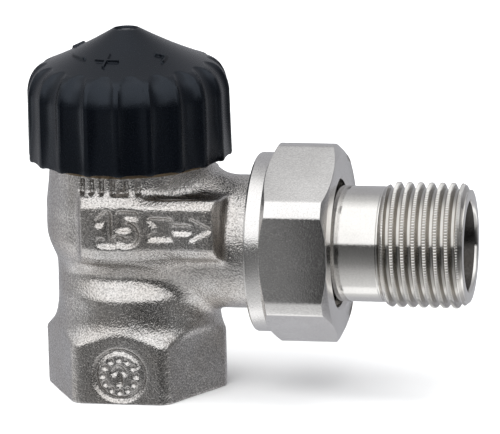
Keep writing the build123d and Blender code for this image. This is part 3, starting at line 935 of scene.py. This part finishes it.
def make_union_nut():
    """The nut. Offsets of a few tenths in its outline are broken edges."""
    angles = turn_angles(nut_columns)
    sixth = TURN / 6
    from_flat = (angles - nut_flat_angle + sixth / 2) % sixth - sixth / 2
    flat = nut_half / np.cos(from_flat)
    sharpness = 30             # of the edge between a flat and the turned corner
    side = -np.logaddexp(-flat * sharpness, -nut_turned_radius * sharpness) / sharpness
    left = nut_hex_x + (side - nut_half) * chamfer_slope
    right = nut_face_x - (side - nut_half) * chamfer_slope
    ease, ease_sink = 0.14, 0.035
    skirt = [
        (nut_back_x, nut_skirt_radius - 1.1), (nut_back_x, nut_skirt_radius - 0.35),
        (nut_back_x + 0.1, nut_skirt_radius - 0.12), (nut_back_x + 0.35, nut_skirt_radius),
        (nut_hex_x - 0.12, nut_skirt_radius), (nut_hex_x - 0.02, nut_skirt_radius + 0.03),
    ]
    hexagon = [
        [left - ease * chamfer_slope, side - ease],
        [left, side - ease_sink],
        [left + ease, side],
        [right - ease, side],
        [right, side - ease_sink],
        [right + ease * chamfer_slope, side - ease],
    ]
    flange_bore_radius = tail_flange_radius + nut_flange_clearance
    lip = [
        (nut_face_x - 0.05, nut_half), (nut_face_x, nut_half - 0.12),
        (nut_face_x, nut_lip_bore_radius + 0.55), (nut_face_x - 0.08, nut_lip_bore_radius + 0.42),
        (nut_face_x - 0.5, nut_lip_bore_radius), (nut_lip_x, nut_lip_bore_radius),
        (nut_lip_x, flange_bore_radius), (union_face_x + 0.6, flange_bore_radius),
    ]
    thread = thread_rows(
        angles, nut_back_x + 0.4, union_face_x + 0.5, pipe_pitch,
        union_crest_radius + nut_thread_clearance, union_thread_x,
        lambda along: nut_mouth_radius - 0.8 * (along - nut_back_x), inside=True,
    )
    mouth = [(nut_back_x + 0.05, nut_mouth_radius), (nut_back_x, nut_skirt_radius - 1.1)]
    rows = rings(angles, skirt) + hexagon + rings(angles, lip) + thread[::-1] + rings(angles, mouth)
    add_turned(
        "hex_union_nut", about_x, angles, rows, "nut", "union_nut", [nut_nickel], 24
    )


make_union_nut()

# ------------ protective cap
cap_flutes = 20
cap_rib_angle = math.radians(-84)
cap_wall_top_z = 50.6
cap_shoulder_radius = 13.6
cap_shoulder_z = 55.3
cap_tip_radius = 2.2
cap_cone_middle = (7.9, 57.85)
cap_thread_end_z = 46.9
cap_thread_clearance = 0.15
wall_taper = 0.15
wall_edge = 0.35
wall_steps, shoulder_steps, cone_steps = 16, 26, 96
flute_depth = 0.72
flute_full_height = 7.0        # height over the rim at which a flute has its full depth
spoon_start_z = cap_wall_top_z + 1.6
spoon_end_radius = 13.1
rim_flute_share = 0.45         # depth of a flute at the rim, over its full depth
rib_share = 0.14               # width of a rib over the spacing of the ribs
mark_circle_radius = 9.3
mark_height = 0.42
cone_stretch = 1.12            # length down the cone over the change in radius


def bent(points, middle, end, steps):
    """Points along a smooth bend from the last point through middle to end."""
    start = np.array(points[-1])
    middle, end = np.array(middle), np.array(end)
    control = 2 * middle - (start + end) / 2
    for i in range(1, steps + 1):
        t = i / steps
        points.append(tuple((1 - t) ** 2 * start + 2 * t * (1 - t) * control + t * t * end))
    return points


def cap_outline():
    """Outer half profile of the cap, from the rim to the rim of the tip, as (radius, height)."""
    wall_radius = cap_rib_radius
    wall_start_z = cap_rim_z + wall_edge
    points = [
        (wall_radius - wall_edge, cap_rim_z), (wall_radius - 0.1, cap_rim_z + 0.1),
        (wall_radius, wall_start_z),
    ]
    wall_height = cap_wall_top_z - wall_start_z
    for i in range(1, wall_steps + 1):
        share = i / wall_steps
        points.append((wall_radius - wall_taper * share, wall_start_z + share * wall_height))
    shoulder_middle = (wall_radius - 1.2, cap_wall_top_z + 3.1)
    points = bent(points, shoulder_middle, (cap_shoulder_radius, cap_shoulder_z), shoulder_steps)
    return bent(points, cap_cone_middle, (cap_tip_radius, cap_top_z), cone_steps)


def cap_marks(angles, radius):
    """Height of the raised signs on the cone: plus, minus, and arrow heads that show the way round."""
    pen_half_width, soft_edge = 0.24, 0.14
    arrow_head = [(-1.1, 1.1), (0.4, 0), (-1.1, -1.1)]
    signs = (
        (-98, [[(-1.9, 0), (1.9, 0)], [(0, -1.7), (0, 1.7)]]),
        (-136, [[(-1.7, 0), (1.7, 0)]]),
        (168, [arrow_head]),
        (-36, [arrow_head]),
    )
    height = np.zeros((len(radius), len(angles)))
    up = (mark_circle_radius - radius)[:, None] * cone_stretch
    for place, lines in signs:
        turn = (angles - math.radians(place) + math.pi) % TURN - math.pi
        across = turn[None, :] * mark_circle_radius
        gap = strokes_distance(across, up, lines, pen_half_width)
        height = np.maximum(height, mark_height * np.clip(0.5 - gap / soft_edge, 0, 1))
    return height


def make_cap():
    columns_per_flute = 20
    angles = turn_angles(cap_flutes * columns_per_flute)
    outline = np.array(cap_outline())
    radius, height = outline.T
    run = np.gradient(outline, axis=0)
    run /= np.linalg.norm(run, axis=1)[:, None]
    out_radius, out_height = run[:, 1], -run[:, 0]

    # flutes: round in section between narrow ribs, ending in a spoon shape on the shoulder
    spacing = TURN / cap_flutes
    from_centre = (angles - cap_rib_angle) % spacing / spacing - 0.5
    across = from_centre / (0.5 * (1 - rib_share))
    travelled = np.concatenate([[0], np.cumsum(np.linalg.norm(np.diff(outline, axis=0), axis=1))])
    spoon_start = np.interp(spoon_start_z, height, travelled)
    above = slice(wall_steps - 1, None)
    spoon_end = np.interp(-spoon_end_radius, -radius[above], travelled[above])
    along = np.clip((travelled - spoon_start) / (spoon_end - spoon_start), 0, None)
    across, along = np.abs(across[None, :]), along[:, None]
    full_height = (cap_rim_z, cap_rim_z + flute_full_height)
    full_depth = flute_depth * np.interp(height, full_height, (rim_flute_share, 1))[:, None]
    outline_power, section_power = 2.4, 0.85
    inside_spoon = np.clip(1 - across**outline_power - along**outline_power, 0, None)
    cut = full_depth * inside_spoon**section_power
    shift = cap_marks(angles, radius) - cut
    outer = [
        [height[i] + shift[i] * out_height[i], radius[i] + shift[i] * out_radius[i]]
        for i in range(len(outline))
    ]
    dish = [
        (cap_top_z - 0.18, 0.0), (cap_top_z - 0.18, 0.75), (cap_top_z - 0.3, 0.9),
        (cap_top_z - 0.3, cap_tip_radius - 0.45), (cap_top_z - 0.28, cap_tip_radius - 0.3),
        (cap_top_z + 0.02, cap_tip_radius - 0.15),
    ]
    mouth = [(cap_rim_z + 0.02, cap_rib_radius - 1.4), (cap_rim_z + 0.5, 15.35)]
    thread_start_z = cap_rim_z + 0.6
    crest = head_crest_radius + cap_thread_clearance
    thread = thread_rows(
        angles, thread_start_z, cap_thread_end_z, head_pitch, crest, head_thread_z,
        lambda along: crest + 0.05 - (along - thread_start_z), inside=True,
    )
    disc_recess_radius = 2.65
    disc_recess_z = pin_tip_z + 1.02
    inside = [
        (47.2, 14.8), (51.2, 14.6), (pin_tip_z - 0.9, 4.0), (pin_tip_z - 0.3, disc_recess_radius),
        (disc_recess_z, disc_recess_radius), (disc_recess_z, 0.0),
    ]
    rows = rings(angles, dish) + outer[::-1] + rings(angles, mouth) + thread + rings(angles, inside)
    add_turned(
        "fluted_cap", about_z, angles, rows, "cap", "protective_cap", [cap_plastic], 30
    )


make_cap()


# ------------ stage, light and camera
def area_light(name, place, aim, size, power):
    """A rectangular lamp that is not seen in reflections; places and sizes are in metres."""
    light = bpy.data.lights.new(name, "AREA")
    light.shape = "RECTANGLE"
    light.size, light.size_y = size
    light.energy = power
    lamp = new_object(name, light)
    lamp.location = place
    lamp.rotation_euler = (Vector(aim) - Vector(place)).to_track_quat("-Z", "Y").to_euler()
    lamp.visible_glossy = False


def make_floor():
    material, _, shader, _ = node_material("pale_floor")
    shader.inputs["Base Color"].default_value = (0.86, 0.86, 0.86, 1)
    shader.inputs["Roughness"].default_value = 0.7
    shader.inputs["Specular IOR Level"].default_value = 0.1
    half = 6.0                 # metres
    corners = [(x, y, cad_low.z) for x, y in ((-half, -half), (half, -half), (half, half), (-half, half))]
    mesh = bpy.data.meshes.new("floor")
    mesh.from_pydata(corners, [], [(0, 1, 2, 3)])
    mesh.materials.append(material)
    floor = new_object("floor", mesh)
    floor.visible_glossy = False


def make_stage():
    make_floor()
    middle = (0.02, 0.0, 0.03)
    area_light("front_softbox", (-0.15, -0.55, 0.6), middle, (0.7, 0.55), 5.0)
    area_light("overhead", (0.05, 0.15, 0.8), middle, (0.7, 0.7), 5.0)
    make_surroundings()


# light levels by the angle in degrees from the front horizon up over the top; below it is negative
room_bands = (
    (-180, 0.46), (-140, 0.50), (-122, 0.60), (-107, 0.84),
    (-101, 1.30), (-86, 1.30), (-80, 0.86), (-50, 0.58),
    (-24, 0.28), (-8, 0.19), (11, 0.13), (16, 0.36),
    (60, 0.48), (109, 0.52), (140, 0.48), (180, 0.46),
)
# share of the room's light by the compass angle from the front, positive towards the right
room_sides = (
    (-180, 1.0), (-75, 1.0), (-58, 0.85), (-42, 1.0),
    (-14, 1.0), (5, 0.20), (33, 0.20), (55, 0.46),
    (84, 0.44), (108, 0.34), (125, 0.6), (150, 1.0),
    (180, 1.0),
)
# light of the softbox, by the same angle as room_bands
softbox_bands = (
    (11, 0.0), (14, 1.05), (88, 0.97), (111, 0.22),
    (130, 0.0),
)


def band_ramp(tree, turned, bands):
    """Levels over a whole turn, as greys that are slightly blue, more so at the back."""
    ramp = tree.nodes.new("ShaderNodeValToRGB")
    elements = ramp.color_ramp.elements
    while len(elements) < len(bands):
        elements.new(0.5)
    for element, (angle, level) in zip(elements, bands):
        element.position = angle / 360 + 0.5
        cool = 1.05 if abs(angle) > 120 else 1.01
        element.color = (level * 0.985, level * 0.995, level * cool, 1)
    tree.links.new(turned, ramp.inputs["Fac"])
    return ramp.outputs["Color"]


def make_surroundings():
    """Studio seen in reflections: a broad softbox in front and above, a dark band at eye level."""
    world = bpy.data.worlds.new("studio")
    bpy.context.scene.world = world
    world.use_nodes = True
    tree = world.node_tree
    background = tree.nodes["Background"]

    place = tree.nodes.new("ShaderNodeTexCoord")
    parts = tree.nodes.new("ShaderNodeSeparateXYZ")
    tree.links.new(place.outputs["Generated"], parts.inputs["Vector"])
    frontward = math_node(tree, "MULTIPLY", parts.outputs["Y"], -1.0)
    turned = math_node(tree, "ARCTAN2", parts.outputs["Z"], frontward)
    turned = math_node(tree, "MULTIPLY_ADD", turned, 1 / TURN, 0.5)
    sideways = math_node(tree, "ABSOLUTE", parts.outputs["X"])

    room = band_ramp(tree, turned, room_bands)
    compass = math_node(tree, "ARCTAN2", parts.outputs["X"], frontward)
    compass = math_node(tree, "MULTIPLY_ADD", compass, 1 / TURN, 0.5)
    room_side = band_ramp(tree, compass, room_sides)
    steepness = math_node(tree, "ABSOLUTE", parts.outputs["Z"])
    steep = ramp_node(tree, steepness, low=0.0, high=1.0, stops=(0.35, 0.6))
    room_side = math_node(tree, "MAXIMUM", room_side, steep)
    room = mix_node(tree, "MULTIPLY", room, room_side)
    softbox = band_ramp(tree, turned, softbox_bands)
    softbox_side = ramp_node(tree, sideways, low=1.0, high=0.0, stops=(0.7, 0.95))
    softbox = mix_node(tree, "MULTIPLY", softbox, softbox_side)
    both = mix_node(tree, "ADD", room, softbox)

    seen = tree.nodes.new("ShaderNodeLightPath")
    backdrop = tree.nodes.new("ShaderNodeMix")
    backdrop.data_type = "RGBA"
    backdrop.inputs["B"].default_value = (1.0, 1.0, 1.0, 1)
    tree.links.new(seen.outputs["Is Camera Ray"], backdrop.inputs["Factor"])
    tree.links.new(both, backdrop.inputs["A"])
    tree.links.new(backdrop.outputs["Result"], background.inputs["Color"])


def make_camera():
    """A long lens to the right of the front and a little above, rolled slightly."""
    azimuth, elevation, roll = (math.radians(v) for v in (11.8, 13.99, 1.64))
    target = Vector((20.01, 0.0, 29.12)) * MM
    distance = 761.81 * MM
    flat = math.cos(elevation)
    back = Vector((math.sin(azimuth) * flat, -math.cos(azimuth) * flat, math.sin(elevation)))
    level = Vector((math.cos(azimuth), math.sin(azimuth), 0))
    upright = back.cross(level)
    right = level * math.cos(roll) - upright * math.sin(roll)
    up = level * math.sin(roll) + upright * math.cos(roll)
    data = bpy.data.cameras.new("camera")
    data.sensor_width = 36
    data.lens = 330.3
    data.clip_start, data.clip_end = 0.05, 20
    camera = new_object("camera", data)
    turn = Matrix((right, up, back)).transposed().to_4x4()
    camera.matrix_world = Matrix.Translation(target + back * distance) @ turn
    bpy.context.scene.camera = camera


make_stage()
make_camera()
bpy.context.scene.view_settings.view_transform = "Standard"
